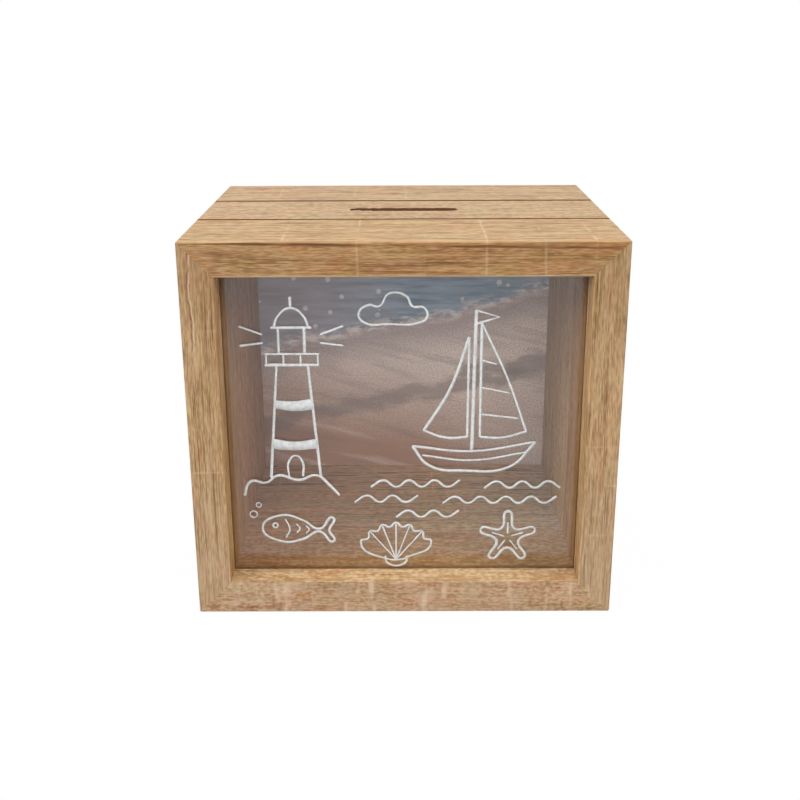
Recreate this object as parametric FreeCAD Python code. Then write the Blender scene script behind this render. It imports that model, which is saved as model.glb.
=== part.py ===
import FreeCAD, Part
import math
import os

# Money box of three mitred frames of oak-look stock, glued one behind the other.
# Millimetres. X runs across the front, Y from front to back, Z up.
# The origin is the centre of the base.

# Overall sizes
box_width = 150.0
box_height = 137.0
frame_depth = 42.0
wall = 12.0

# Soft edges of the wrapped stock, and the seams between the frames
edge_round = 0.6
lip_round = 0.5
seam_width = 1.6
seam_depth = 1.6

# Glass pane and the groove that holds it behind the front lip
glass_setback = 10.5
glass_thickness = 2.0
glass_groove_depth = 4.0
glass_edge_gap = 0.4
glass_face_gap = 0.2

# Coin slot, routed through the middle of the top
slot_length = 40.0
slot_width = 5.8
slot_edge_round = 0.4

# Back board with its printed sheet, and the rebate they lie in
board_thickness = 12.0
print_thickness = 0.4
print_margin = 0.5
rebate_width = 4.0
board_gap = 0.3
board_recess = 0.3

# Turn buttons that keep the back board in
button_length = 24.0
button_width = 7.0
button_tip_width = 5.0
button_thickness = 1.0
button_bevel = 0.3
button_spacing = 62.0

# Round-headed screws that the buttons turn on
screw_diameter = 2.5
screw_bite = 10.0
screw_tip = 2.5
screw_head_diameter = 5.2
screw_head_height = 1.7
screw_cross_span = 2.8
screw_cross_width = 0.7
screw_cross_depth = 0.9
turning_gap = 0.05
screw_hole_gap = 0.02

# Steel corner wedges driven across the mitres
wedge_leg = 5.0
wedge_thickness = 0.6
wedge_length = 10.0
wedge_cover = 4.5

# Places worked out from the sizes above
half_width = box_width / 2
box_depth = 3 * frame_depth
front_y = -box_depth / 2
middle_y = front_y + frame_depth
rear_y = middle_y + frame_depth
back_y = rear_y + frame_depth
opening_half = half_width - wall
opening_top = box_height - wall
rebate_depth = print_thickness + board_thickness + board_recess
shoulder_y = back_y - rebate_depth
pivot_x = half_width - (wall - rebate_width) / 2

# Cutting tools run one wall past what they cut, and places closer than tiny are the same
overrun = wall
tiny = 0.001


def block(x0, x1, y0, y1, z0, z1):
    """Box between two corners."""
    return Part.makeBox(x1 - x0, y1 - y0, z1 - z0, FreeCAD.Vector(x0, y0, z0))


def opening_block(grow, y0, y1):
    """Block that fills the frame's opening, grown outwards into the wall on all four sides."""
    return block(-opening_half - grow, opening_half + grow, y0, y1, wall - grow, opening_top + grow)


def edges_where(shape, test):
    """Edges whose two end points both pass the test."""
    return [edge for edge in shape.Edges if all(test(vertex.Point) for vertex in edge.Vertexes)]


def profile_prism(points, y0, y1):
    """Prism along Y from a closed outline of (x, z) points."""
    corners = [FreeCAD.Vector(x, y0, z) for x, z in points]
    outline = Part.makePolygon(corners + corners[:1])
    return Part.Face(outline).extrude(FreeCAD.Vector(0, y1 - y0, 0))


def frame_blank(y0, y1, face_y):
    """Rounded outside of one frame: its four corners, and the free face at face_y if it has one."""
    blank = block(-half_width, half_width, y0, y1, 0, box_height)
    corners = [edge for edge in blank.Edges if abs(edge.tangentAt(edge.FirstParameter).y) > 0.5]
    rim = edges_where(blank, lambda point: face_y is not None and abs(point.y - face_y) < tiny)
    return blank.makeFillet(edge_round, corners + rim)


def seam_strip(y):
    """Material missing at the seam around y, all round the outside of the box."""
    y0 = y - seam_width / 2
    y1 = y + seam_width / 2
    outside = block(-half_width - overrun, half_width + overrun, y0, y1, -overrun, box_height + overrun)
    core_half = half_width - seam_depth
    core = block(-core_half, core_half, y0, y1, seam_depth, box_height - seam_depth)
    return outside.cut(core)


def frame_ring(y0, y1, face_y):
    """One whole frame before its mitres: rounded outside, open middle, seams where frames meet."""
    ring = frame_blank(y0, y1, face_y).cut(opening_block(0, y0 - overrun, y1 + overrun))
    for seam_y in (middle_y, rear_y):
        ring = ring.cut(seam_strip(seam_y))
    return ring


def mitre_prisms(y0, y1):
    """Four prisms that share the frame out between its members along 45 degree mitres."""
    out = -overrun
    reach = wall + overrun
    top_left = (out - half_width, box_height - out)
    top_right = (half_width - out, box_height - out)
    low_left = (out - half_width, out)
    low_right = (half_width - out, out)
    top_left_in = (reach - half_width, box_height - reach)
    top_right_in = (half_width - reach, box_height - reach)
    low_left_in = (reach - half_width, reach)
    low_right_in = (half_width - reach, reach)
    outlines = {
        "top": (top_left, top_right, top_right_in, top_left_in),
        "bottom": (low_left, low_left_in, low_right_in, low_right),
        "left": (low_left, top_left, top_left_in, low_left_in),
        "right": (low_right, low_right_in, top_right_in, top_right),
    }
    return {side: profile_prism(outline, y0 - overrun, y1 + overrun) for side, outline in outlines.items()}


def corner_wedges(y0):
    """Four V-shaped wedges, one at each corner, with a leg in each of the two members."""
    inner = wedge_cover + wedge_thickness
    reach = wedge_cover + wedge_leg
    legs = (
        (wedge_cover, wedge_cover),
        (reach, wedge_cover),
        (reach, inner),
        (inner, inner),
        (inner, reach),
        (wedge_cover, reach),
    )
    wedges = []
    for side in (-1, 1):
        for level in (0, 1):
            outline = [(side * (half_width - x), level * box_height + (1 - 2 * level) * z) for x, z in legs]
            wedges.append(profile_prism(outline, y0, y0 + wedge_length))
    return wedges


def members(ring, y0, y1, wedges):
    """Frame cut at its mitres, with a slit for every wedge that a member holds."""
    slit = Part.makeCompound(wedges)
    return {side: ring.common(prism).cut(slit) for side, prism in mitre_prisms(y0, y1).items()}


def stadium(length, width, z):
    """Flat outline with round ends, along X about the middle of the box."""
    straight = length / 2 - width / 2
    radius = width / 2
    near_left = FreeCAD.Vector(-straight, -radius, z)
    near_right = FreeCAD.Vector(straight, -radius, z)
    far_left = FreeCAD.Vector(-straight, radius, z)
    far_right = FreeCAD.Vector(straight, radius, z)
    edges = [
        Part.LineSegment(near_left, near_right).toShape(),
        Part.Arc(near_right, FreeCAD.Vector(length / 2, 0, z), far_right).toShape(),
        Part.LineSegment(far_right, far_left).toShape(),
        Part.Arc(far_left, FreeCAD.Vector(-length / 2, 0, z), near_left).toShape(),
    ]
    return Part.Face(Part.Wire(edges))


pieces = {}

# Front frame: rounded front face, eased lip and the groove for the glass
front_ring = frame_ring(front_y, middle_y, front_y)
lip = edges_where(
    front_ring,
    lambda point: abs(point.y - front_y) < tiny
    and abs(point.x) < opening_half + tiny
    and wall - tiny < point.z < opening_top + tiny,
)
front_ring = front_ring.makeFillet(lip_round, lip)
glass_y = front_y + glass_setback
glass_back_y = glass_y + glass_thickness
groove_rear_y = glass_back_y + glass_face_gap
front_ring = front_ring.cut(opening_block(glass_groove_depth, glass_y, groove_rear_y))
front_wedges = corner_wedges(middle_y - wedge_length)
front_members = members(front_ring, front_y, middle_y, front_wedges)
pieces["front_top_rail"] = front_members["top"]
pieces["front_bottom_rail"] = front_members["bottom"]
pieces["front_left_stile"] = front_members["left"]
pieces["front_right_stile"] = front_members["right"]
pieces["front_corner_wedges"] = Part.makeCompound(front_wedges)

# Glass pane, standing on the floor of its groove against the groove's front wall
glass_half = opening_half + glass_groove_depth - glass_edge_gap
glass_low = wall - glass_groove_depth
glass_high = opening_top + glass_groove_depth - glass_edge_gap
pieces["glass_pane"] = block(-glass_half, glass_half, glass_y, glass_back_y, glass_low, glass_high)

# Middle frame, with the coin slot through its top
middle_ring = frame_ring(middle_y, rear_y, None)
slot_tool = stadium(slot_length, slot_width, opening_top - overrun)
middle_ring = middle_ring.cut(slot_tool.extrude(FreeCAD.Vector(0, 0, wall + 2 * overrun)))
slot_mouth = edges_where(
    middle_ring,
    lambda point: abs(point.z - box_height) < tiny
    and abs(point.y) < slot_width / 2 + tiny
    and abs(point.x) < slot_length / 2 + tiny,
)
middle_ring = middle_ring.makeFillet(slot_edge_round, slot_mouth)
middle_wedges = corner_wedges(rear_y - wedge_length)
middle_members = members(middle_ring, middle_y, rear_y, middle_wedges)
pieces["middle_top_slat"] = middle_members["top"]
pieces["middle_bottom_slat"] = middle_members["bottom"]
pieces["middle_left_slat"] = middle_members["left"]
pieces["middle_right_slat"] = middle_members["right"]
pieces["middle_corner_wedges"] = Part.makeCompound(middle_wedges)

# Screws and turn buttons: two pairs on the rear rim, hanging clear of the back board
pivot_heights = {
    "upper": box_height / 2 + button_spacing / 2,
    "lower": box_height / 2 - button_spacing / 2,
}
pivot_sides = {"left": -pivot_x, "right": pivot_x}


def screw(x, z):
    """Screw along Y: domed head behind the button, plain shank, pointed tip in the wood."""
    radius = screw_diameter / 2
    head_radius = screw_head_diameter / 2
    seat_y = back_y + button_thickness + turning_gap
    crown_y = seat_y + screw_head_height
    point_y = back_y - screw_bite
    diagonal = math.sqrt(0.5)
    point = FreeCAD.Vector(0, point_y, 0)
    shank_start = FreeCAD.Vector(radius, point_y + screw_tip, 0)
    shank_end = FreeCAD.Vector(radius, seat_y, 0)
    head_rim = FreeCAD.Vector(head_radius, seat_y, 0)
    head_brow = FreeCAD.Vector(head_radius * diagonal, seat_y + screw_head_height * diagonal, 0)
    crown = FreeCAD.Vector(0, crown_y, 0)
    outline = [
        Part.LineSegment(point, shank_start).toShape(),
        Part.LineSegment(shank_start, shank_end).toShape(),
        Part.LineSegment(shank_end, head_rim).toShape(),
        Part.Arc(head_rim, head_brow, crown).toShape(),
        Part.LineSegment(crown, point).toShape(),
    ]
    body = Part.Face(Part.Wire(outline)).revolve(FreeCAD.Vector(0, 0, 0), FreeCAD.Vector(0, 1, 0), 360)
    span = screw_cross_span / 2
    slit = screw_cross_width / 2
    floor_y = crown_y - screw_cross_depth
    body = body.cut(block(-span, span, floor_y, crown_y + overrun, -slit, slit))
    body = body.cut(block(-slit, slit, floor_y, crown_y + overrun, -span, span))
    return body.translated(FreeCAD.Vector(x, 0, z))


def screw_hole(x, z):
    """Pilot hole in the rear rim for one screw."""
    radius = screw_diameter / 2 + screw_hole_gap
    depth = screw_bite + screw_hole_gap
    mouth = FreeCAD.Vector(x, back_y, z)
    return Part.makeCylinder(radius, depth, mouth, FreeCAD.Vector(0, -1, 0))


def turn_button(x, z):
    """Stamped plate, round about its screw and narrower at its tip, hanging down from the screw."""
    root = button_width / 2
    tip = button_tip_width / 2
    reach = button_length - root - tip
    lean = math.asin((root - tip) / reach)
    side_x = math.cos(lean)
    drop = math.sin(lean)
    root_left = FreeCAD.Vector(-root * side_x, 0, -root * drop)
    root_right = FreeCAD.Vector(root * side_x, 0, -root * drop)
    tip_left = FreeCAD.Vector(-tip * side_x, 0, -reach - tip * drop)
    tip_right = FreeCAD.Vector(tip * side_x, 0, -reach - tip * drop)
    outline = [
        Part.Arc(root_left, FreeCAD.Vector(0, 0, root), root_right).toShape(),
        Part.LineSegment(root_right, tip_right).toShape(),
        Part.Arc(tip_right, FreeCAD.Vector(0, 0, -reach - tip), tip_left).toShape(),
        Part.LineSegment(tip_left, root_left).toShape(),
    ]
    plate = Part.Face(Part.Wire(outline)).extrude(FreeCAD.Vector(0, button_thickness, 0))
    rear_edges = edges_where(plate, lambda point: abs(point.y - button_thickness) < tiny)
    plate = plate.makeChamfer(button_bevel, rear_edges)
    hole_radius = screw_diameter / 2 + turning_gap
    hole_start = FreeCAD.Vector(0, -overrun, 0)
    hole_length = button_thickness + 2 * overrun
    hole = Part.makeCylinder(hole_radius, hole_length, hole_start, FreeCAD.Vector(0, 1, 0))
    return plate.cut(hole).translated(FreeCAD.Vector(x, back_y, z))


screws = []
screw_holes = []
for level, z in pivot_heights.items():
    for side, x in pivot_sides.items():
        pieces[f"{level}_{side}_turn_button"] = turn_button(x, z)
        screws.append(screw(x, z))
        screw_holes.append(screw_hole(x, z))
pieces["turn_button_screws"] = Part.makeCompound(screws)

# Rear frame, rebated for the back board and drilled for the screws
rear_ring = frame_ring(rear_y, back_y, back_y)
rear_ring = rear_ring.cut(opening_block(rebate_width, shoulder_y, back_y + overrun))
rear_ring = rear_ring.cut(Part.makeCompound(screw_holes))
rear_wedges = corner_wedges(rear_y)
rear_members = members(rear_ring, rear_y, back_y, rear_wedges)
pieces["rear_top_slat"] = rear_members["top"]
pieces["rear_bottom_slat"] = rear_members["bottom"]
pieces["rear_left_slat"] = rear_members["left"]
pieces["rear_right_slat"] = rear_members["right"]
pieces["rear_corner_wedges"] = Part.makeCompound(rear_wedges)

# Back board and the printed sheet glued to its front, both against the rebate's shoulder
board_y = shoulder_y + print_thickness
board_grow = rebate_width - board_gap
pieces["back_print"] = opening_block(board_grow - print_margin, shoulder_y, board_y)
pieces["back_board"] = opening_block(board_grow, board_y, board_y + board_thickness)

os.makedirs("parts", exist_ok=True)
for name, shape in pieces.items():
    shape.exportStep(f"parts/{name}.step")
    print(name, "solids", len(shape.Solids), "valid", shape.isValid(), "volume", round(shape.Volume, 1))
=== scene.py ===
import math

import bpy
from mathutils import Euler, Matrix, Vector


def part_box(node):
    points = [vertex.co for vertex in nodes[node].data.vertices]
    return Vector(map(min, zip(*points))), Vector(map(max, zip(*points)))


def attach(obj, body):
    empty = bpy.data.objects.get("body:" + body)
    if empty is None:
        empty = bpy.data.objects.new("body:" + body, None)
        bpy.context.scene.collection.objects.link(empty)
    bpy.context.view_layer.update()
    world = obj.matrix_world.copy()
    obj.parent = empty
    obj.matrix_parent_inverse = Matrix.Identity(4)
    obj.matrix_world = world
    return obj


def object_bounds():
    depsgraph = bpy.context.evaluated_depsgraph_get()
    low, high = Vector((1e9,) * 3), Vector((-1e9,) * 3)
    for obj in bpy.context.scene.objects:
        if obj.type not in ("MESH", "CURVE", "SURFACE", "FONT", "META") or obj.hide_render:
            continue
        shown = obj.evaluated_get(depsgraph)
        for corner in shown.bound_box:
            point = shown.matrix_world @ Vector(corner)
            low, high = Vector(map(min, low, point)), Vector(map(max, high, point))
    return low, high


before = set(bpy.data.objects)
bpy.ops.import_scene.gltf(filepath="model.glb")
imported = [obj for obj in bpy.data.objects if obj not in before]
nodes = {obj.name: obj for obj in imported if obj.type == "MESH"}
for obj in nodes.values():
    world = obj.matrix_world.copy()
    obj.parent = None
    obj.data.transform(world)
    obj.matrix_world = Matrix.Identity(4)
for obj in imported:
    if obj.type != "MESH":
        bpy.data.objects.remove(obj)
cad_low, cad_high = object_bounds()
bpy.ops.object.select_all(action="DESELECT")


# Front frame: a ring of four mitred members, like a deep picture frame, that holds the glass.
# They are fibreboard wrapped in a satin foil printed with oak grain, which runs along each
# member, and they are glued at the mitres.
def set_inputs(tree, node, inputs):
    for key, value in inputs.items():
        if isinstance(value, bpy.types.NodeSocket):
            tree.links.new(value, node.inputs[key])
        else:
            node.inputs[key].default_value = value


def add_node(tree, kind, inputs, **settings):
    node = tree.nodes.new(kind)
    for name, value in settings.items():
        setattr(node, name, value)
    set_inputs(tree, node, inputs)
    return node


def new_material(name):
    material = bpy.data.materials.new(name)
    material.use_nodes = True
    tree = material.node_tree
    return material, tree, tree.nodes["Principled BSDF"]


def object_place(tree):
    return add_node(tree, "ShaderNodeTexCoord", {}).outputs["Object"]


def split(tree, vector):
    return add_node(tree, "ShaderNodeSeparateXYZ", {0: vector}).outputs


def maths(tree, operation, first, second=0.0):
    return add_node(tree, "ShaderNodeMath", {0: first, 1: second}, operation=operation).outputs[0]


def product(tree, first, *others):
    for other in others:
        first = maths(tree, "MULTIPLY", first, other)
    return first


def total(tree, first, *others):
    for other in others:
        first = maths(tree, "ADD", first, other)
    return first


def distance_from(tree, value, centre):
    return maths(tree, "ABSOLUTE", maths(tree, "SUBTRACT", value, centre))


def spread(tree, value, low, high, least=0.0, most=1.0):
    ends = {"Value": value, "From Min": low, "From Max": high, "To Min": least, "To Max": most}
    return add_node(tree, "ShaderNodeMapRange", ends).outputs["Result"]


def mix_colour(tree, factor, first, second, blend="MIX"):
    sockets = {0: factor, 6: first, 7: second}
    return add_node(tree, "ShaderNodeMix", sockets, data_type="RGBA", blend_type=blend).outputs[2]


def noise(tree, vector, per_metre, detail=2.0, roughness=0.5):
    stretched = add_node(tree, "ShaderNodeVectorMath", {0: vector, 1: per_metre}, operation="MULTIPLY")
    inputs = {"Vector": stretched.outputs[0], "Scale": 1.0, "Detail": detail, "Roughness": roughness}
    return add_node(tree, "ShaderNodeTexNoise", inputs).outputs["Fac"]


# Nearly all of a noise lies between these two values.
noise_low = 0.3
noise_high = 0.7


def over_noise(tree, pattern, least=0.0, most=1.0):
    return spread(tree, pattern, noise_low, noise_high, least, most)


def sway(tree, pattern, reach):
    return over_noise(tree, pattern, -reach, reach)


grain_wander = 0.0007
band_share = 0.20
fine_dashes = (280.0, 1700.0, 2000.0)
red_oak = (1.07, 0.92, 0.86, 1.0)
olive_oak = (0.93, 1.03, 0.88, 1.0)
pore_brown = (0.125, 0.050, 0.018, 1.0)
saw_mark_pale = (0.72, 0.55, 0.34, 1.0)
saw_marks_per_metre = 48.0
saw_mark_outer = 0.00065
saw_mark_inner = 0.00015
saw_mark_wander = 0.0003
seam_place = 0.021
seam_half_width = 0.00098
seam_growth = 0.005
seam_blur = 0.00025
seam_reach = 0.0018
seam_raw_and_shade_brown = (0.105, 0.043, 0.004, 1.0)
foil_gloss = 0.2
foil_relief = 0.0001


def oak_foil(name, grain, start, tones, figure, marks, pore_depth=0.9,
             dash=fine_dashes, dash_share=0.53, blush=0.9):
    material, tree, shader = new_material(name)
    place = object_place(tree)
    turn = (0.0, math.radians(90) if grain == "Z" else 0.0, 0.0)
    along = add_node(tree, "ShaderNodeMapping", {"Vector": place, "Location": start, "Rotation": turn})
    along = along.outputs["Vector"]

    # The grain lines wander a little across the member.
    wander = sway(tree, noise(tree, along, (11.0, 60.0, 60.0)), grain_wander)
    shift = add_node(tree, "ShaderNodeCombineXYZ", {0: 0.0, 1: wander, 2: wander}).outputs[0]
    grain_line = add_node(tree, "ShaderNodeVectorMath", {0: along, 1: shift}, operation="ADD").outputs[0]

    # Growth bands, long thin streaks and short dashes add up to the tone.
    bands = noise(tree, grain_line, (18.0, 420.0, 420.0))
    streaks = noise(tree, grain_line, (50.0, 1000.0, 1800.0), 1.0)
    dashes = noise(tree, grain_line, dash, 1.0)
    streak_share = 1.0 - band_share - dash_share
    tone = total(tree, product(tree, bands, band_share), product(tree, streaks, streak_share),
                 product(tree, dashes, dash_share))
    tone = spread(tree, tone, 0.315, 0.685)
    dark, mid, pale = tones
    colour = mix_colour(tree, spread(tree, tone, 0.0, 0.55), dark, mid)
    colour = mix_colour(tree, spread(tree, tone, 0.45, 1.0, 0.0, 0.85), colour, pale)

    # Reddish and olive stretches, and dark lines where the pores are cut.
    redness = noise(tree, grain_line, (60.0, 330.0, 330.0), roughness=0.6)
    colour = mix_colour(tree, spread(tree, redness, 0.50, 0.66, 0.0, blush), colour, red_oak, "MULTIPLY")
    colour = mix_colour(tree, spread(tree, redness, 0.50, 0.34, 0.0, blush), colour, olive_oak, "MULTIPLY")
    pores = noise(tree, grain_line, (38.0, 1100.0, 2200.0))
    pore = spread(tree, pores, 0.57, 0.62, 0.0, pore_depth)
    pore = product(tree, pore, spread(tree, bands, 0.60, 0.42, 0.35, 1.0))
    colour = mix_colour(tree, pore, colour, pore_brown)

    # Cloudy figure, as where the saw crosses the rays of the oak.
    clouds = noise(tree, grain_line, (90.0, 230.0, 230.0), roughness=0.6)
    colour = mix_colour(tree, spread(tree, clouds, 0.42, 0.66, 0.0, figure), colour, saw_mark_pale)

    # Thin pale saw marks that run round the member, across the grain, and come and go.
    ragged = sway(tree, noise(tree, along, (70.0, 70.0, 70.0)), saw_mark_wander)
    stripe = total(tree, split(tree, along)[0], ragged)
    stripe = add_node(tree, "ShaderNodeTexVoronoi", {"W": stripe, "Scale": saw_marks_per_metre},
                      voronoi_dimensions="1D", feature="DISTANCE_TO_EDGE").outputs["Distance"]
    mark = spread(tree, stripe, saw_mark_outer * saw_marks_per_metre, saw_mark_inner * saw_marks_per_metre)
    fade = noise(tree, along, (40.0, 60.0, 60.0))
    mark = product(tree, mark, spread(tree, fade, 0.47, 0.62, 0.0, marks))
    colour = mix_colour(tree, mark, colour, saw_mark_pale)

    # The open seams between the frames are painted dark, the rear one a little wider: the raw board
    # shows there, and painted shade darkens the groove.
    x, y, z = split(tree, place)
    off_seam = distance_from(tree, maths(tree, "ABSOLUTE", y), seam_place)
    seam_edge = total(tree, product(tree, y, seam_growth), seam_half_width)
    in_seam = spread(tree, maths(tree, "SUBTRACT", off_seam, seam_edge), seam_blur, 0.0)
    middle_height = cad_high.z / 2
    from_side = maths(tree, "SUBTRACT", cad_high.x, maths(tree, "ABSOLUTE", x))
    from_end = maths(tree, "SUBTRACT", middle_height, distance_from(tree, z, middle_height))
    from_outside = maths(tree, "MINIMUM", from_side, from_end)
    in_seam = product(tree, in_seam, maths(tree, "LESS_THAN", from_outside, seam_reach))
    colour = mix_colour(tree, in_seam, colour, seam_raw_and_shade_brown)

    height = maths(tree, "SUBTRACT", product(tree, streaks, 0.6), pore)
    bump = add_node(tree, "ShaderNodeBump", {"Height": height, "Strength": 0.4, "Distance": foil_relief})
    satin = spread(tree, tone, 0.2, 0.8, 0.56, 0.44)
    set_inputs(tree, shader, {
        "Base Color": colour,
        "Roughness": maths(tree, "MAXIMUM", satin, in_seam),
        "Normal": bump.outputs[0],
        "Specular IOR Level": foil_gloss,
    })
    return material


def paint_over(material, cover, colour, blend="MIX"):
    tree = material.node_tree
    base = tree.nodes["Principled BSDF"].inputs["Base Color"]
    tree.links.new(mix_colour(tree, cover, base.links[0].from_socket, colour, blend), base)


def put_on(node, material):
    nodes[node].material_slots[0].material = material


golden_oak = ((0.156, 0.069, 0.0235, 1.0), (0.275, 0.146, 0.0567, 1.0), (0.410, 0.254, 0.119, 1.0))
honey_oak = ((0.34, 0.170, 0.070, 1.0), (0.562, 0.355, 0.178, 1.0), (0.77, 0.596, 0.366, 1.0))
olive_stile = ((0.203, 0.116, 0.052, 1.0), (0.328, 0.202, 0.097, 1.0), (0.461, 0.328, 0.186, 1.0))
blotches = (520.0, 700.0, 1100.0)
top_oak = oak_foil("front_top_oak", "X", (0.31, 0.12, 0.44), golden_oak, 0.06, 0.14)
bottom_oak = oak_foil("front_bottom_oak", "X", (0.57, 0.29, 0.83), honey_oak, 0.40, 0.25,
                      pore_depth=0.3, dash=blotches, dash_share=0.60)
left_oak = oak_foil("front_left_oak", "Z", (0.72, 0.55, 0.13), olive_stile, 0.08, 0.18, blush=0.5)
right_oak = oak_foil("front_right_oak", "Z", (0.18, 0.91, 0.37), olive_stile, 0.08, 0.18, blush=0.5)
put_on("front_top_rail", top_oak)
put_on("front_bottom_rail", bottom_oak)
put_on("front_left_stile", left_oak)
put_on("front_right_stile", right_oak)

# A face ends where its rounded edge begins.
face_full = 0.0002
face_gone = 0.0007


def front_face(tree, y):
    return spread(tree, y, cad_low.y + face_gone, cad_low.y + face_full)


# The top of the top rail is as blond as the slats behind it, with a painted sheen that makes it paler and
# greyer than its face, and a painted highlight along its front edge.
blond_and_sheen_tint = (1.74, 1.98, 2.22, 1.0)
front_edge_highlight_pale = (0.66, 0.47, 0.26, 1.0)
edge_full = 0.0010
edge_gone = 0.0035
tree = top_oak.node_tree
place = object_place(tree)
x, y, z = split(tree, place)
on_front = front_face(tree, y)
below_top = maths(tree, "SUBTRACT", cad_high.z, z)
on_top = spread(tree, below_top, face_gone, face_full)
paint_over(top_oak, on_top, blond_and_sheen_tint, "MULTIPLY")
front_edge_highlight = spread(tree, y, cad_low.y + edge_gone, cad_low.y + edge_full, 0.0, 0.35)
paint_over(top_oak, product(tree, on_top, front_edge_highlight), front_edge_highlight_pale)

# Its face is greyer near the left end.
end_grey = (1.04, 1.08, 1.15, 1.0)
grey_gone = -0.020
grey_full = -0.055
left_end = product(tree, spread(tree, x, grey_gone, grey_full), on_front)
paint_over(top_oak, left_end, end_grey, "MULTIPLY")

# A dark line of the print slants across the face, near the top edge, with a browner strip above it.
line_slope = 0.0135
line_depth = 0.0015
line_wander = 0.0003
line_outer = 0.0005
line_inner = 0.0002
line_brown = (0.110, 0.042, 0.013, 1.0)
strip_brown = (0.23, 0.098, 0.030, 1.0)
uneven = noise(tree, place, (45.0, 0.0, 500.0))
slant = total(tree, product(tree, x, line_slope), line_depth)
off_line = total(tree, maths(tree, "SUBTRACT", below_top, slant), sway(tree, uneven, line_wander))
strip = product(tree, spread(tree, off_line, line_inner, -line_inner, 0.0, 0.3), on_front)
paint_over(top_oak, strip, strip_brown)
dark_line = spread(tree, maths(tree, "ABSOLUTE", off_line), line_outer, line_inner)
dark_line = product(tree, dark_line, on_front, spread(tree, uneven, 0.36, 0.52, 0.2, 0.95))
paint_over(top_oak, dark_line, line_brown)

# A painted highlight runs along the lower edge of the face, where its rounded edge catches the light.
edge_highlight_pale = (0.55, 0.37, 0.20, 1.0)
edge_highlight_gone = 0.0010
edge_highlight_full = 0.0003
lower_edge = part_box("front_top_rail")[0].z
lower_edge_highlight = spread(tree, z, lower_edge + edge_highlight_gone, lower_edge + edge_highlight_full, 0.0, 0.45)
paint_over(top_oak, product(tree, lower_edge_highlight, on_front), edge_highlight_pale)

# The face of the bottom rail has a pinker print than its top, the lip in front of the glass, and is painted
# darker than the lip, a painted shade beside the light that the lip catches. The lip has orange flames, and
# the face has pale rungs.
face_pink_and_shade = (0.615, 0.586, 0.631, 1.0)
flame_orange = (0.42, 0.215, 0.075, 1.0)
rung_pale = (0.60, 0.45, 0.32, 1.0)
tree = bottom_oak.node_tree
place = object_place(tree)
_, y, _ = split(tree, place)
on_front = front_face(tree, y)
paint_over(bottom_oak, on_front, face_pink_and_shade, "MULTIPLY")
flames = noise(tree, place, (120.0, 330.0, 200.0), roughness=0.6)
off_front = maths(tree, "SUBTRACT", 1.0, on_front)
flames = product(tree, spread(tree, flames, 0.52, 0.62, 0.0, 0.62), off_front)
paint_over(bottom_oak, flames, flame_orange)
rungs = noise(tree, place, (220.0, 1.0, 60.0), roughness=0.6)
rungs = product(tree, spread(tree, rungs, 0.55, 0.72, 0.0, 0.5), on_front)
paint_over(bottom_oak, rungs, rung_pale)

# The stiles are painted browner at the top and paler and pinker towards their feet, painted shade high up
# and painted light from the floor below. Their inner sides, round the opening, are painted a little
# brighter than their faces, a painted light.
opening_half = 0.0635
shade_gone = 0.090
shade_full = 0.120
high_painted_shade = (0.855, 0.82, 0.80, 1.0)
light_gone = 0.065
light_full = 0.015
low_painted_light = (1.05, 1.10, 1.24, 1.0)
foot_painted_light = (0.390, 0.262, 0.156, 1.0)
left_lip_light = (1.14, 1.06, 0.90, 1.0)
right_lip_light = (1.21, 1.15, 1.02, 1.0)
for stile_oak, lip_light in ((left_oak, left_lip_light), (right_oak, right_lip_light)):
    tree = stile_oak.node_tree
    x, y, z = split(tree, object_place(tree))
    on_front = front_face(tree, y)
    high_shade = product(tree, spread(tree, z, shade_gone, shade_full), on_front)
    paint_over(stile_oak, high_shade, high_painted_shade, "MULTIPLY")
    low_light = product(tree, spread(tree, z, light_gone, light_full), on_front)
    paint_over(stile_oak, low_light, low_painted_light, "MULTIPLY")
    paint_over(stile_oak, product(tree, low_light, 0.35), foot_painted_light)
    inner_side = maths(tree, "LESS_THAN", maths(tree, "ABSOLUTE", x), opening_half)
    paint_over(stile_oak, inner_side, lip_light, "MULTIPLY")

# A reddish line of the print runs down the left stile, with a pale one beside it.
red_line_place = -0.0716
red_line_wander = 0.0008
red_line_gone = 0.085
red_line_full = 0.105
pale_line_offset = 0.0007
red_brown = (0.155, 0.055, 0.028, 1.0)
ash_pale = (0.56, 0.42, 0.30, 1.0)
tree = left_oak.node_tree
place = object_place(tree)
x, y, z = split(tree, place)
wavy = sway(tree, noise(tree, place, (0.0, 0.0, 70.0)), red_line_wander)
off_line = total(tree, maths(tree, "SUBTRACT", x, red_line_place), wavy)
comes = spread(tree, noise(tree, place, (0.0, 0.0, 190.0)), 0.40, 0.52)
comes = product(tree, comes, front_face(tree, y), spread(tree, z, red_line_gone, red_line_full))
red_line = spread(tree, maths(tree, "ABSOLUTE", off_line), 0.0004, 0.0001, 0.0, 0.8)
paint_over(left_oak, product(tree, red_line, comes), red_brown)
pale_line = spread(tree, distance_from(tree, off_line, pale_line_offset), 0.0003, 0.0001, 0.0, 0.6)
paint_over(left_oak, product(tree, pale_line, comes), ash_pale)

# Behind the glass the print of the foil is redder. The floor is painted darker near the left wall, a
# painted shade, and greyer near the right one, a painted reflection in the glass.
glass_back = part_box("glass_pane")[1].y
opening_low = 0.0115
opening_high = 0.1255
left_gone = 0.005
left_full = -0.062
right_gone = 0.015
right_full = 0.062
as_it_is = (1.0, 1.0, 1.0, 1.0)
wall_brown = (0.97, 0.83, 0.71, 1.0)
sill_left_shade = (0.85, 0.79, 0.77, 1.0)
sill_right_reflection = (0.87, 0.98, 1.12, 1.0)


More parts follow.
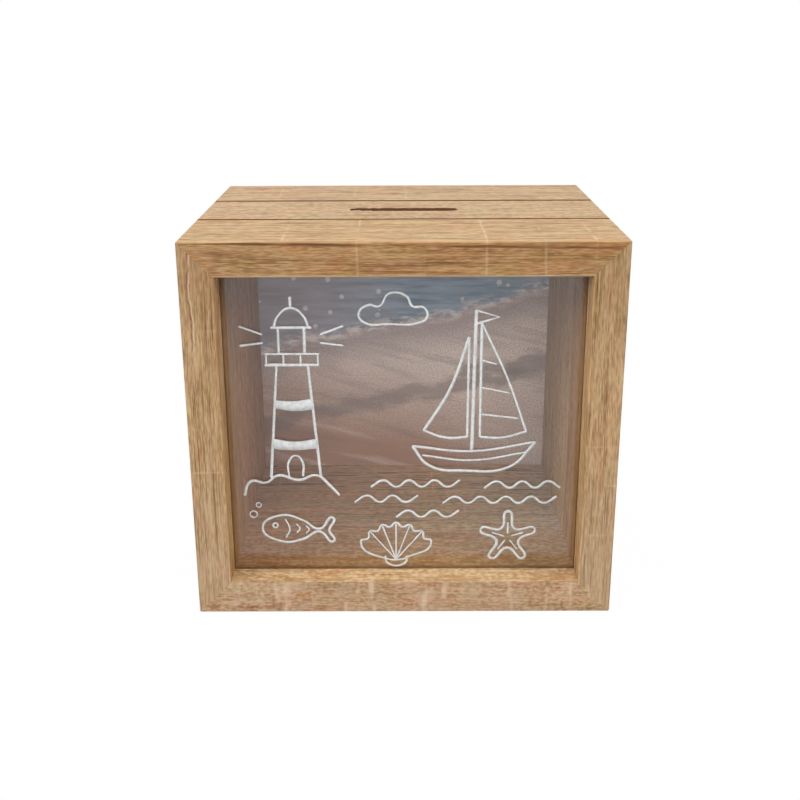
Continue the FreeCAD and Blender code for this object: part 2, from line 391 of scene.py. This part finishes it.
def behind_glass(tree):
    x, y, z = split(tree, object_place(tree))
    depth = maths(tree, "SUBTRACT", y, glass_back)
    across = maths(tree, "LESS_THAN", maths(tree, "ABSOLUTE", x), opening_half)
    over = maths(tree, "GREATER_THAN", z, opening_low)
    under = maths(tree, "LESS_THAN", z, opening_high)
    return x, depth, product(tree, across, over, under, maths(tree, "GREATER_THAN", depth, 0.0))


def tint_inside(oak, tint, left_tint=as_it_is, right_tint=as_it_is):
    tree = oak.node_tree
    x, _, inside = behind_glass(tree)
    paint_over(oak, inside, tint, "MULTIPLY")
    near_left = product(tree, inside, spread(tree, x, left_gone, left_full))
    paint_over(oak, near_left, left_tint, "MULTIPLY")
    near_right = product(tree, inside, spread(tree, x, right_gone, right_full))
    paint_over(oak, near_right, right_tint, "MULTIPLY")


tint_inside(top_oak, wall_brown)
tint_inside(left_oak, wall_brown)
tint_inside(right_oak, wall_brown)
tint_inside(bottom_oak, wall_brown, sill_left_shade, sill_right_reflection)

# A painted light makes the floor paler away from the glass, and dust and painted shade darken a thin
# line along the pane.
deep_gone = 0.004
deep_full = 0.024
deep_painted_light = (1.14, 1.17, 1.25, 1.0)
dust_and_shade_gone = 0.0030
dust_and_shade_full = 0.0002
dust_and_shade_brown = (0.080, 0.032, 0.010, 1.0)
tree = bottom_oak.node_tree
_, depth, inside = behind_glass(tree)
deep_light = product(tree, inside, spread(tree, depth, deep_gone, deep_full))
paint_over(bottom_oak, deep_light, deep_painted_light, "MULTIPLY")
for member_oak in (top_oak, bottom_oak, left_oak, right_oak):
    tree = member_oak.node_tree
    _, depth, inside = behind_glass(tree)
    dust_and_shade = product(tree, spread(tree, depth, dust_and_shade_gone, dust_and_shade_full, 0.0, 0.75), inside)
    paint_over(member_oak, dust_and_shade, dust_and_shade_brown)


# Glass pane: clear float glass 2 mm thick, which stands in a groove round the inside of the
# front frame.
glass_white = (0.98, 0.99, 0.985, 1.0)
lamp_share = (0.975, 0.98, 0.975, 1.0)
glass_ior = 1.5
clear_glass, tree, shader = new_material("clear_glass")
set_inputs(tree, shader, {
    "Base Color": glass_white,
    "Roughness": 0.0,
    "IOR": glass_ior,
    "Transmission Weight": 1.0,
})
# Lamp light and light from matt surfaces pass straight through or are mirrored, camera rays bend.
path = add_node(tree, "ShaderNodeLightPath", {}).outputs
mirrored = add_node(tree, "ShaderNodeBsdfGlossy", {"Roughness": 0.0}).outputs[0]
straight = add_node(tree, "ShaderNodeBsdfTransparent", {}).outputs[0]
angle = add_node(tree, "ShaderNodeFresnel", {"IOR": glass_ior}).outputs[0]
soft_light = add_node(tree, "ShaderNodeMixShader", {0: angle, 1: straight, 2: mirrored}).outputs[0]
pane = {0: path["Is Diffuse Ray"], 1: shader.outputs[0], 2: soft_light}
pane = add_node(tree, "ShaderNodeMixShader", pane).outputs[0]
lamp_light = add_node(tree, "ShaderNodeBsdfTransparent", {"Color": lamp_share}).outputs[0]
pane = add_node(tree, "ShaderNodeMixShader", {0: path["Is Shadow Ray"], 1: pane, 2: lamp_light}).outputs[0]
tree.links.new(pane, tree.nodes["Material Output"].inputs["Surface"])
put_on("glass_pane", clear_glass)


# Ink on the glass: a white line drawing of the seaside, screen-printed on the front of the pane.
# Every line is a thin raised film whose width varies as a brush's does.
ink_thin = (0.44, 0.455, 0.455, 1.0)
ink_full = (0.57, 0.585, 0.58, 1.0)
white_ink, tree, shader = new_material("white_ink")
thin_spots = noise(tree, object_place(tree), (700.0, 700.0, 700.0), roughness=0.6)
set_inputs(tree, shader, {
    "Base Color": mix_colour(tree, spread(tree, thin_spots, 0.35, 0.62), ink_thin, ink_full),
    "Roughness": over_noise(tree, thin_spots, 0.65, 0.45),
})

glass_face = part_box("glass_pane")[0].y
millimetre = 0.001
ink_half_width = 0.5 * millimetre
ink_flatness = 0.14
brush_wobble = 0.16


def stroke(points, width=1.0, corners=False, closed=False):
    return points, width, corners, closed


def straight_stroke(points, width=1.0):
    return stroke(points, width, corners=True)


def around(middle, degrees, reach):
    turn = math.radians(degrees)
    return middle[0] + reach * math.cos(turn), middle[1] + reach * math.sin(turn)


def circle(middle, radius, width):
    return stroke([around(middle, degrees, radius) for degrees in range(0, 360, 60)], width, closed=True)


# The points are in millimetres from the middle of the pane and up from the table.
def draw(name, strokes):
    bpy.ops.curve.primitive_bezier_curve_add(location=(0.0, 0.0, 0.0))
    drawing = bpy.context.object
    drawing.name = name
    drawing.data.splines.clear()
    drawing.data.bevel_depth = ink_half_width
    drawing.data.bevel_resolution = 1
    drawing.data.use_fill_caps = True
    for points, width, corners, closed in strokes:
        line = drawing.data.splines.new("BEZIER")
        line.bezier_points.add(len(points) - 1)
        line.use_cyclic_u = closed
        line.resolution_u = 6
        for number, (knot, (x, z)) in enumerate(zip(line.bezier_points, points)):
            knot.co = (x * millimetre, 0.0, z * millimetre)
            knot.handle_left_type = "VECTOR" if corners else "AUTO"
            knot.handle_right_type = knot.handle_left_type
            knot.radius = width * (1.0 + brush_wobble * math.sin(1.9 * number + 0.4 * x + 0.3 * z))
    bpy.ops.object.convert(target="MESH")
    drawing.location.y = glass_face
    drawing.scale.y = ink_flatness
    bpy.ops.object.transform_apply(location=True, rotation=True, scale=True)
    drawing.data.materials.clear()
    drawing.data.materials.append(white_ink)
    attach(drawing, "case")


draw("ink_sailing_boat", [
    stroke([(3, 61), (9, 53.5), (22, 51.5), (38, 53), (47, 62.5)], 1.1),
    stroke([(3, 61), (24, 59), (47, 62.5)]),
    stroke([(6.5, 57.5), (24, 55.5), (43.5, 58.5)], 0.7),
    straight_stroke([(24.2, 59.5), (25, 111)], 1.2),
    straight_stroke([(27, 64.5), (27, 106.5)]),
    stroke([(27, 106.5), (36.5, 86), (43.5, 66.5)]),
    stroke([(43.5, 66.5), (35, 64.2), (27, 64.5)]),
    straight_stroke([(22.5, 64.5), (22.7, 101.5)]),
    stroke([(22.7, 101.5), (16, 82), (7, 67)]),
    stroke([(7, 67), (15, 64.2), (22.5, 64.5)]),
    straight_stroke([(27.5, 93), (32.5, 91.5)], 0.7),
    straight_stroke([(27.5, 83), (37, 81)], 0.7),
    straight_stroke([(27.5, 73), (40.5, 71.5)], 0.7),
    straight_stroke([(25, 111), (33, 108.6), (25, 106.2)]),
])
wave_step = 4.6
wave_rise = 1.3
wave_lines = ((-12, 46.5, 8), (29, 46, 7), (-18, 40.5, 6), (14, 40, 10), (-3, 34.5, 6))
draw("ink_sea", [
    stroke([(start + step * wave_step, height + (wave_rise if step % 2 else -wave_rise))
            for step in range(count)], 0.95)
    for start, height, count in wave_lines
])
draw("ink_lighthouse", [
    straight_stroke([(-48, 49), (-44.5, 91)], 1.1),
    straight_stroke([(-30, 49), (-33.5, 91)], 1.1),
    straight_stroke([(-48.5, 91.5), (-29.5, 91.5)], 1.2),
    straight_stroke([(-48.5, 95.5), (-29.5, 95.5)], 0.8),
    *[straight_stroke([(post, 91.5), (post, 95.5)], 0.7) for post in (-48, -42, -36, -30)],
    straight_stroke([(-43.5, 96), (-43.5, 105)]),
    straight_stroke([(-34.5, 96), (-34.5, 105)]),
    straight_stroke([(-46, 105), (-32, 105)]),
    stroke([(-45, 105), (-43.5, 109), (-39, 112), (-34.5, 109), (-33, 105)]),
    straight_stroke([(-39, 112), (-39, 116)]),
    stroke([(-46.6, 62), (-39, 61.2), (-31.4, 62)], 4.4),
    stroke([(-45.4, 77), (-39, 76.3), (-32.6, 77)], 4.0),
    stroke([(-41.5, 49.5), (-41.5, 55), (-39, 57.5), (-36.5, 55), (-36.5, 49.5)], 0.8),
    stroke([(-58, 42), (-55.5, 47.5), (-50, 47), (-45.5, 49.8), (-38, 48), (-31.5, 49.8),
            (-27, 46), (-23.5, 42)], 1.1),
    straight_stroke([(-49, 102.5), (-57, 105.5)], 0.9),
    straight_stroke([(-49, 99.5), (-57, 98.5)], 0.9),
    straight_stroke([(-29, 102.5), (-21, 105.5)], 0.9),
    straight_stroke([(-29, 99.5), (-21, 98.5)], 0.9),
])
draw("ink_cloud", [
    stroke([(-14, 107), (-15.5, 110), (-12, 113), (-8.5, 112.5), (-5, 117), (1, 116), (3, 112.5),
            (7, 112), (8, 108.5), (5, 106.6), (-5, 106.2)], 0.9, closed=True),
])
draw("ink_fish", [
    stroke([(-52, 29), (-45, 34), (-37, 32), (-31, 28.5), (-26, 33), (-27.5, 28), (-26, 23.5),
            (-31, 27.5), (-37, 24.5), (-45, 23.5)], closed=True),
    circle((-47.2, 30), 0.9, 0.7),
    stroke([(-43.5, 32.5), (-42, 28.5), (-43.5, 25)], 0.7),
    stroke([(-39.5, 30.5), (-38.3, 28.8), (-39.5, 27)], 0.6),
    stroke([(-36, 29.8), (-35, 28.3), (-36, 26.8)], 0.6),
    circle((-55, 34.5), 1.3, 0.6),
    circle((-53, 38.2), 0.9, 0.5),
])
shell_hinge = (-3.0, 16.0)
shell_rim = [around(shell_hinge, degrees, 15.0 if degrees % 20 else 13.4) for degrees in range(30, 151, 10)]
draw("ink_shell", [
    stroke([(-0.6, 16), *shell_rim, (-5.4, 16), (-0.6, 16)], 0.9),
    *[stroke([shell_hinge, rim], 0.65) for rim in shell_rim[2:-1:2]],
    stroke([(-7, 17.5), (-6.2, 14.5), (0.2, 14.5), (1, 17.5)], 0.9),
])
star_middle = (38.0, 25.0)
star_rim = [around(star_middle, 90 + 36 * point, 4.2 if point % 2 else 10.5) for point in range(10)]
star_ribs = [[around(star_middle, 90 + 72 * arm, reach) for reach in (1.5, 6.0)] for arm in range(5)]
draw("ink_starfish", [
    stroke(star_rim, 1.1, closed=True),
    *[stroke(rib, 0.7) for rib in star_ribs],
])


# Middle frame: four mitred slats of the same foiled board, between the front and the rear frame.
# The coin slot is milled through the top one, which leaves its edges raw and a little frayed.
# Their tones are a little paler and greyer than the foil's own, a painted sheen.
blond_oak_and_sheen = ((0.287, 0.157, 0.075, 1.0), (0.485, 0.304, 0.152, 1.0), (0.68, 0.50, 0.31, 1.0))
mottled = (400.0, 1100.0, 1300.0)
middle_slats = {
    "middle_top_slat": ("X", (0.45, 0.66, 0.21)),
    "middle_bottom_slat": ("X", (0.93, 0.08, 0.52)),
    "middle_left_slat": ("Z", (0.27, 0.34, 0.77)),
    "middle_right_slat": ("Z", (0.64, 0.81, 0.05)),
}
for slat, (grain, start) in middle_slats.items():
    put_on(slat, oak_foil(slat + "_oak", grain, start, blond_oak_and_sheen, 0.12, 0.15,
                          pore_depth=0.6, dash=mottled, dash_share=0.54))

# Inside, the left wall has the reddest print and is painted darker, a painted shade. The floor is painted
# pale in its middle, a painted light, darker near the left wall, a painted shade, and greyer near the right
# one, a painted reflection in the glass.
wall_red_and_shade = (0.87, 0.64, 0.52, 1.0)
floor_painted_light = (1.54, 1.57, 1.62, 1.0)
floor_left_shade = (0.70, 0.57, 0.49, 1.0)
floor_right_reflection = (0.77, 0.89, 1.13, 1.0)


def oak_of(slat):
    return nodes[slat].material_slots[0].material


tint_inside(oak_of("middle_left_slat"), as_it_is, wall_red_and_shade)
tint_inside(oak_of("middle_bottom_slat"), floor_painted_light, floor_left_shade, floor_right_reflection)

# The raw edge of the slot is dark and ragged, the raw board darkened further by painted shade inside the
# slot, and pale fibres fray out at its left end.
slot_half_length = 0.020
slot_half_width = 0.0029
slot_ragged = 0.0010
dark_gone = 0.0004
dark_full = 0.0001
raw_and_shade_brown = (0.130, 0.055, 0.026, 1.0)
fray_gone = 0.0012
fray_full = 0.0006
fray_pale = (0.72, 0.64, 0.51, 1.0)
slot_oak = oak_of("middle_top_slat")
tree = slot_oak.node_tree
place = object_place(tree)
x, y, _ = split(tree, place)
past_end = maths(tree, "SUBTRACT", maths(tree, "ABSOLUTE", x), slot_half_length - slot_half_width)
past_end = maths(tree, "MAXIMUM", past_end, 0.0)
from_middle = add_node(tree, "ShaderNodeCombineXYZ", {0: past_end, 1: y, 2: 0.0}).outputs[0]
from_middle = add_node(tree, "ShaderNodeVectorMath", {0: from_middle}, operation="LENGTH").outputs["Value"]
ragged = noise(tree, place, (420.0, 420.0, 0.0), roughness=0.6)
ragged = spread(tree, ragged, 0.40, 0.75, 0.0, slot_ragged)
from_edge = maths(tree, "SUBTRACT", maths(tree, "SUBTRACT", from_middle, slot_half_width), ragged)
torn = spread(tree, noise(tree, place, (330.0, 600.0, 0.0), 1.0), 0.46, 0.58)
torn = product(tree, torn, spread(tree, x, -0.003, -0.010))
fray = product(tree, spread(tree, from_edge, fray_gone, fray_full), torn, 0.8)
paint_over(slot_oak, fray, fray_pale)
raw_and_shade = spread(tree, from_edge, dark_gone, dark_full)
paint_over(slot_oak, raw_and_shade, raw_and_shade_brown)
rough = tree.nodes["Principled BSDF"].inputs["Roughness"]
tree.links.new(maths(tree, "MAXIMUM", rough.links[0].from_socket, raw_and_shade), rough)


# Torn foil: a flap of printed foil and board fibres, torn up at the left end of the slot. It is
# still held along its straight side and hangs over the front of the slot, just below the top.
strand_dark = (0.30, 0.18, 0.09, 1.0)
strand_pale = (0.56, 0.43, 0.28, 1.0)
fibre_pale, tree, shader = new_material("fibre_pale")
strands = noise(tree, object_place(tree), (2600.0, 500.0, 500.0), roughness=0.6)
set_inputs(tree, shader, {
    "Base Color": mix_colour(tree, spread(tree, strands, 0.40, 0.60), strand_dark, strand_pale),
    "Roughness": 0.9,
})
foil_half_thickness = 0.00006
flap_drop = 0.00015
torn_edge = [
    (-20.1, -3.2), (-19.7, -1.9), (-19.3, -2.3), (-18.7, -0.9), (-18.3, -1.5), (-17.7, -0.2), (-17.1, -1.1),
    (-16.6, -0.6), (-16.0, -2.0), (-14.8, -2.4), (-13.9, -1.7), (-13.3, -2.3), (-12.6, -1.6), (-10.8, -3.2),
]
bpy.ops.curve.primitive_bezier_curve_add(location=(0.0, 0.0, 0.0))
flap = bpy.context.object
flap.name = "torn_foil"
flap.data.dimensions = "2D"
flap.data.fill_mode = "BOTH"
flap.data.extrude = foil_half_thickness
flap.data.splines.clear()
rim = flap.data.splines.new("POLY")
rim.points.add(len(torn_edge) - 1)
rim.use_cyclic_u = True
for knot, (x, y) in zip(rim.points, torn_edge):
    knot.co = (x * millimetre, y * millimetre, 0.0, 1.0)
bpy.ops.object.convert(target="MESH")
flap.location.z = cad_high.z - flap_drop
bpy.ops.object.transform_apply(location=True, rotation=True, scale=True)
flap.data.materials.clear()
flap.data.materials.append(fibre_pale)
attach(flap, "case")


# Rear frame: four mitred slats of the same foiled board as the middle ones. A rebate is milled
# round their back edge for the back board, and the turn buttons are screwed to them.
rear_slats = {
    "rear_top_slat": ("X", (0.15, 0.49, 0.62)),
    "rear_bottom_slat": ("X", (0.86, 0.23, 0.35)),
    "rear_left_slat": ("Z", (0.39, 0.70, 0.58)),
    "rear_right_slat": ("Z", (0.51, 0.17, 0.94)),
}
for slat, (grain, start) in rear_slats.items():
    put_on(slat, oak_foil(slat + "_oak", grain, start, blond_oak_and_sheen, 0.10, 0.25))
# Their inside gets the same painted shade, light and reflection as the middle slats.
tint_inside(oak_of("rear_left_slat"), as_it_is, wall_red_and_shade)
tint_inside(oak_of("rear_bottom_slat"), floor_painted_light, floor_left_shade, floor_right_reflection)


# Corner wedges: V-shaped nails of bare rolled steel, four in each frame. They are pressed across
# the mitres, so they are hidden in the joints.
steel_dark = (0.26, 0.26, 0.28, 1.0)
steel_pale = (0.44, 0.44, 0.46, 1.0)
bare_steel, tree, shader = new_material("bare_steel")
rolled = noise(tree, object_place(tree), (300.0, 300.0, 4000.0))
set_inputs(tree, shader, {
    "Base Color": mix_colour(tree, over_noise(tree, rolled), steel_dark, steel_pale),
    "Roughness": over_noise(tree, rolled, 0.32, 0.5),
    "Metallic": 1.0,
})
for wedges in ("front_corner_wedges", "middle_corner_wedges", "rear_corner_wedges"):
    put_on(wedges, bare_steel)


# Printed sheet: a matt photo print of a shore, stuck to the front of the back board. The sea lies
# along the top, a foam edge slopes down to the left, and rippled sand fills the rest.
shore_print, tree, shader = new_material("shore_print")
place = object_place(tree)
x, _, z = split(tree, place)
shore_slope = 0.20
shore_height = 0.080
shore_wander = 0.004
waving = sway(tree, noise(tree, place, (26.0, 0.0, 0.0)), shore_wander)
shore_line = total(tree, product(tree, x, shore_slope), waving, shore_height)
above_shore = maths(tree, "SUBTRACT", z, shore_line)

# Dry sand, pink above and brown below, bleached in the lower right corner, with soft slanting ripples.
sand_brown = (0.47, 0.238, 0.145, 1.0)
sand_pink = (0.92, 0.800, 0.745, 1.0)
sand_bleached = (0.82, 0.72, 0.68, 1.0)
ripple_dark = (0.22, 0.150, 0.140, 1.0)
ripple_pale = (0.88, 0.72, 0.65, 1.0)
sand_slope = 0.18
ripple_turn = math.radians(-14)
sand_height = total(tree, product(tree, x, sand_slope), z)
sand = mix_colour(tree, spread(tree, sand_height, 0.020, 0.062), sand_brown, sand_pink)
bleached = product(tree, spread(tree, z, 0.060, 0.020), spread(tree, x, 0.015, 0.060, 0.0, 0.75))
sand = mix_colour(tree, bleached, sand, sand_bleached)
slant = add_node(tree, "ShaderNodeMapping", {"Vector": place, "Rotation": (0.0, ripple_turn, 0.0)})
ripples = noise(tree, slant.outputs["Vector"], (14.0, 0.0, 130.0), 3.0, 0.6)
sand = mix_colour(tree, spread(tree, ripples, 0.52, 0.70, 0.0, 0.55), sand, ripple_dark)
sand = mix_colour(tree, spread(tree, ripples, 0.46, 0.32, 0.0, 0.6), sand, ripple_pale)

# Wet sand under the foam, a dark tide line lower down, and the sea with its small waves.
sand_wet = (0.40, 0.31, 0.34, 1.0)
tide_dark = (0.21, 0.150, 0.150, 1.0)
tide_below = 0.034
tide_wander = 0.004
sea_dark = (0.12, 0.22, 0.35, 1.0)
sea_pale = (0.34, 0.47, 0.64, 1.0)
sea_purple = (0.47, 0.37, 0.42, 1.0)
foam_white = (0.84, 0.80, 0.80, 1.0)
wet = spread(tree, above_shore, -0.016, -0.004, 0.0, 0.75)
picture = mix_colour(tree, wet, sand, sand_wet)
straggling = sway(tree, noise(tree, place, (60.0, 0.0, 160.0), 3.0, 0.6), tide_wander)
off_tide = maths(tree, "ABSOLUTE", total(tree, above_shore, tide_below, straggling))
tide = spread(tree, off_tide, 0.0065, 0.0025, 0.0, 0.6)
picture = mix_colour(tree, tide, picture, tide_dark)
waves = noise(tree, place, (45.0, 0.0, 420.0), 3.0, 0.6)
sea = mix_colour(tree, spread(tree, waves, 0.35, 0.65), sea_dark, sea_pale)
sea = mix_colour(tree, spread(tree, x, 0.005, -0.040, 0.0, 0.6), sea, sea_purple)
picture = mix_colour(tree, spread(tree, above_shore, -0.0008, 0.0012), picture, sea)
froth = spread(tree, noise(tree, place, (160.0, 0.0, 420.0), 3.0, 0.6), 0.44, 0.58)
near_shore = spread(tree, maths(tree, "ABSOLUTE", above_shore), 0.0045, 0.0005)
picture = mix_colour(tree, product(tree, near_shore, froth), picture, foam_white)

# Sparkles of sun on the water, out of focus, and the fine grain of the print.
sparkle_white = (0.80, 0.82, 0.84, 1.0)
sparkles_per_metre = 190.0
grain_dark = (0.10, 0.070, 0.065, 1.0)
spots = {"Vector": place, "Scale": sparkles_per_metre, "Randomness": 1.0}
spots = add_node(tree, "ShaderNodeTexVoronoi", spots).outputs
chosen = add_node(tree, "ShaderNodeSeparateColor", {0: spots["Color"]}).outputs[0]
sparkle = spread(tree, spots["Distance"], 0.26, 0.20, 0.0, 0.8)
sparkle = product(tree, sparkle, maths(tree, "GREATER_THAN", chosen, 0.62))
sparkle = product(tree, sparkle, spread(tree, above_shore, 0.002, 0.006))
picture = mix_colour(tree, sparkle, picture, sparkle_white)
speckle = noise(tree, place, (1500.0, 0.0, 1500.0), 1.0)
on_sand = spread(tree, above_shore, 0.0, -0.004, 0.15, 0.34)
grains = product(tree, spread(tree, speckle, 0.60, 0.38), on_sand)
picture = mix_colour(tree, grains, picture, grain_dark)
set_inputs(tree, shader, {"Base Color": picture, "Roughness": over_noise(tree, speckle, 0.60, 0.70)})
put_on("back_print", shore_print)


# Back board: raw fibreboard that drops into the rebate of the rear frame. It is brown and full of
# short fibres, some darker and some paler than the board.
board_dark = (0.35, 0.220, 0.128, 1.0)
board_pale = (0.40, 0.262, 0.156, 1.0)
fibre_dark_tone = (0.19, 0.105, 0.055, 1.0)
fibre_pale_tone = (0.57, 0.42, 0.28, 1.0)
board_relief = 0.0001
raw_fibreboard, tree, shader = new_material("raw_fibreboard")
place = object_place(tree)
blotch = noise(tree, place, (35.0, 35.0, 35.0), 3.0, 0.6)
fibre = noise(tree, place, (650.0, 1800.0, 1100.0), 3.0, 0.7)
board = mix_colour(tree, spread(tree, blotch, 0.35, 0.65), board_dark, board_pale)
board = mix_colour(tree, spread(tree, fibre, 0.54, 0.66, 0.0, 0.6), board, fibre_dark_tone)
board = mix_colour(tree, spread(tree, fibre, 0.46, 0.34, 0.0, 0.55), board, fibre_pale_tone)
bump = add_node(tree, "ShaderNodeBump", {"Height": fibre, "Strength": 0.35, "Distance": board_relief})
set_inputs(tree, shader, {
    "Base Color": board,
    "Roughness": over_noise(tree, fibre, 0.75, 0.90),
    "Normal": bump.outputs[0],
})
put_on("back_board", raw_fibreboard)


# Turn buttons: four stamped steel strips, zinc plated, that turn on their screws over the board.
# The stamping leaves fine lines along them and the plating is faintly yellow.
zinc_dark = (0.50, 0.48, 0.42, 1.0)
zinc_pale = (0.70, 0.67, 0.59, 1.0)
zinc_stain = (0.52, 0.44, 0.30, 1.0)
zinc_relief = 0.00005
zinc_plate, tree, shader = new_material("zinc_plate")
place = object_place(tree)
drawn = noise(tree, place, (3200.0, 3200.0, 160.0), roughness=0.6)
stain = noise(tree, place, (260.0, 260.0, 260.0), 3.0, 0.6)
zinc = mix_colour(tree, over_noise(tree, drawn), zinc_dark, zinc_pale)
zinc = mix_colour(tree, spread(tree, stain, 0.50, 0.68, 0.0, 0.5), zinc, zinc_stain)
roughness = total(tree, over_noise(tree, drawn, 0.24, 0.36), spread(tree, stain, 0.4, 0.7, 0.0, 0.16))
bump = add_node(tree, "ShaderNodeBump", {"Height": drawn, "Strength": 0.15, "Distance": zinc_relief})
set_inputs(tree, shader, {
    "Base Color": zinc,
    "Roughness": roughness,
    "Normal": bump.outputs[0],
    "Metallic": 1.0,
})
for button in ("upper_left", "upper_right", "lower_left", "lower_right"):
    put_on(button + "_turn_button", zinc_plate)


# Screws: round-headed wood screws of zinc-plated steel with a cross recess. One goes through each
# turn button into the rear frame.
screw_dark = (0.47, 0.46, 0.44, 1.0)
screw_pale = (0.66, 0.65, 0.62, 1.0)
screw_zinc, tree, shader = new_material("screw_zinc")
turned = noise(tree, object_place(tree), (1400.0, 1400.0, 1400.0), roughness=0.6)
set_inputs(tree, shader, {
    "Base Color": mix_colour(tree, over_noise(tree, turned), screw_dark, screw_pale),
    "Roughness": over_noise(tree, turned, 0.26, 0.42),
    "Metallic": 1.0,
})
put_on("turn_button_screws", screw_zinc)


# Floor: a plain matt white sheet that the box stands on. Seen by the camera it is white, with a faint
# shadow that fades away from the box, and a part of that white shows in gloss.
white = (1.0, 1.0, 1.0, 1.0)
floor_paint = (0.70, 0.70, 0.70, 1.0)
floor_size = 12.0
floor_drop = 0.0002
gloss_share = 0.25
shadow_near = 0.15
shadow_far = 0.45
white_share_near = 0.985
bpy.ops.mesh.primitive_plane_add(size=floor_size, location=(0.0, 0.0, -floor_drop))
floor = bpy.context.object
floor.name = "floor"
bpy.ops.object.transform_apply(location=True, rotation=True, scale=True)
white_floor, tree, shader = new_material("white_floor")
set_inputs(tree, shader, {"Base Color": floor_paint, "Roughness": 0.9})
path = add_node(tree, "ShaderNodeLightPath", {}).outputs
seen = maths(tree, "MAXIMUM", path["Is Camera Ray"], path["Is Transmission Ray"])
seen = maths(tree, "MAXIMUM", seen, product(tree, path["Is Glossy Ray"], gloss_share))
distance = add_node(tree, "ShaderNodeVectorMath", {0: object_place(tree)}, operation="LENGTH")
share = spread(tree, distance.outputs["Value"], shadow_near, shadow_far, white_share_near, 1.0)
share = product(tree, seen, share)
plain_white = add_node(tree, "ShaderNodeEmission", {"Color": white, "Strength": 1.0}).outputs[0]
sheet = add_node(tree, "ShaderNodeMixShader", {0: share, 1: shader.outputs[0], 2: plain_white}).outputs[0]
tree.links.new(sheet, tree.nodes["Material Output"].inputs["Surface"])
floor.data.materials.append(white_floor)


# Studio: white surroundings and seven soft square lamps, all aimed at the box. Two hang above it, one
# stands at each side of the front, a large one stands in front, and two light its back.
world = bpy.data.worlds.new("white_studio")
world.use_nodes = True
bpy.context.scene.world = world
surround_strength = 0.02
tree = world.node_tree
surround = tree.nodes["Background"]
set_inputs(tree, surround, {"Color": white, "Strength": surround_strength})
backdrop = add_node(tree, "ShaderNodeBackground", {"Color": white, "Strength": 1.0})
path = add_node(tree, "ShaderNodeLightPath", {}).outputs
seen = maths(tree, "MAXIMUM", path["Is Camera Ray"], path["Is Glossy Ray"])
seen = maths(tree, "MAXIMUM", seen, path["Is Transmission Ray"])
studio = add_node(tree, "ShaderNodeMixShader", {0: seen, 1: surround.outputs[0], 2: backdrop.outputs[0]})
tree.links.new(studio.outputs[0], tree.nodes["World Output"].inputs["Surface"])

aim = Vector((0.0, 0.0, 0.07))
lamps = (
    ("top_lamp", (0.0, -0.50, 1.35), 0.7, 3.6),
    ("rear_top_lamp", (0.0, 0.10, 1.40), 0.7, 6.3),
    ("left_lamp", (-1.12, -0.65, 0.60), 0.6, 10.0),
    ("right_lamp", (1.12, -0.65, 0.60), 0.6, 8.0),
    ("front_lamp", (0.0, -1.32, 0.58), 1.0, 10.4),
    ("rear_left_lamp", (-1.00, 1.10, 0.45), 0.6, 6.5),
    ("rear_right_lamp", (1.00, 1.10, 0.45), 0.6, 6.5),
)
for name, place, size, watts in lamps:
    lamp = bpy.data.lights.new(name, "AREA")
    lamp.size = size
    lamp.energy = watts
    holder = bpy.data.objects.new(name, lamp)
    holder.location = place
    holder.rotation_euler = (aim - Vector(place)).to_track_quat("-Z", "Y").to_euler()
    bpy.context.scene.collection.objects.link(holder)

# The mirror image of the front lamp would wash out the top of the box when that is seen from behind.
bpy.data.objects["front_lamp"].visible_glossy = False


# Camera: a normal lens 0.4 m in front of the middle of the box and 0.2 m up, looking 19 degrees
# down. Its place, its slight turn and its tilt were fitted to the edges of the box.
camera_place = (-0.00035, -0.42963, 0.20821)
pitch_down = math.radians(18.982)
yaw = math.radians(0.156)
roll = math.radians(-0.206)
camera_data = bpy.data.cameras.new("camera")
camera_data.sensor_width = 36.0
camera_data.lens = 50.863
camera = bpy.data.objects.new("camera", camera_data)
aimed = Euler((math.pi / 2 - pitch_down, 0.0, yaw)).to_matrix() @ Matrix.Rotation(roll, 3, "Z")
camera.matrix_world = Matrix.Translation(camera_place) @ aimed.to_4x4()
bpy.context.scene.collection.objects.link(camera)
bpy.context.scene.camera = camera
bpy.context.scene.view_settings.view_transform = "Standard"

bpy.context.view_layer.update()
